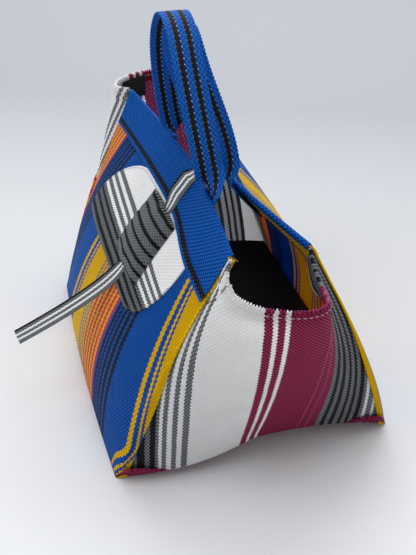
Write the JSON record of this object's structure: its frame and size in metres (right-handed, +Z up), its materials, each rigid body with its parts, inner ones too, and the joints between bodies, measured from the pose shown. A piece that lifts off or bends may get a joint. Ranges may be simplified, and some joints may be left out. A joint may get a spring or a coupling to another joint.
{
  "type": "woven tote bag",
  "caption": "Tent-shaped carrier of striped woven mat with spout-like open ends, a pair of webbing handles, and a strap pulled under a padded keeper to draw the mouth shut.",
  "frame": {"origin": "middle of the base's underside, on the surface the bag stands on", "axes": "+Z up, +X along the bag towards its near end, -Y towards the front with the leaf and the strap"},
  "size_m": [0.4956, 0.3266, 0.362],
  "materials": {
    "maroon_mat": "woven plastic yarn, satin",
    "striped_mat": "woven plastic yarn in stripes, satin",
    "white_mat": "woven plastic yarn in stripes, satin",
    "blue_mat": "woven plastic yarn, satin",
    "grey_mat": "woven plastic yarn in stripes, satin",
    "webbing": "woven webbing with black lines, matt",
    "black_sheet": "matt",
    "black_tape": "matt, left plain"
  },
  "bodies": {
    "bag": {"base_panel": "maroon_mat", "front_panel": "striped_mat", "back_panel": "striped_mat", "near_gusset": "white_mat", "far_gusset": "white_mat", "front_band": "blue_mat", "back_band": "blue_mat", "front_handle_near_end": "webbing", "front_handle_far_end": "webbing", "back_handle_near_end": "webbing", "back_handle_far_end": "webbing", "closure_leaf": "white_mat", "strap_keeper": "grey_mat", "closure_strap": "grey_mat", "floor_insert": "black_sheet", "label_patch": "black_tape"},
    "front_grip": {"front_handle": "webbing"},
    "back_grip": {"back_handle": "webbing"},
    "tail": {"strap_tail": "grey_mat"}
  },
  "joints": [
    {"name": "front_handle_swing", "type": "hinge", "parent": "bag", "child": "front_grip", "pos_m": [0.014, -0.01785, 0.23037], "axis": [1, 0, 0], "range_deg": [0, 90]},
    {"name": "back_handle_swing", "type": "hinge", "parent": "bag", "child": "back_grip", "pos_m": [0.014, -0.00089, 0.23012], "axis": [-1, 0, 0], "range_deg": [0, 90]},
    {"name": "strap_tail_lift", "type": "hinge", "parent": "bag", "child": "tail", "pos_m": [0.02958, -0.09105, 0.13736], "axis": [-1, 0, 0], "range_deg": [0, 45]}
  ]
}
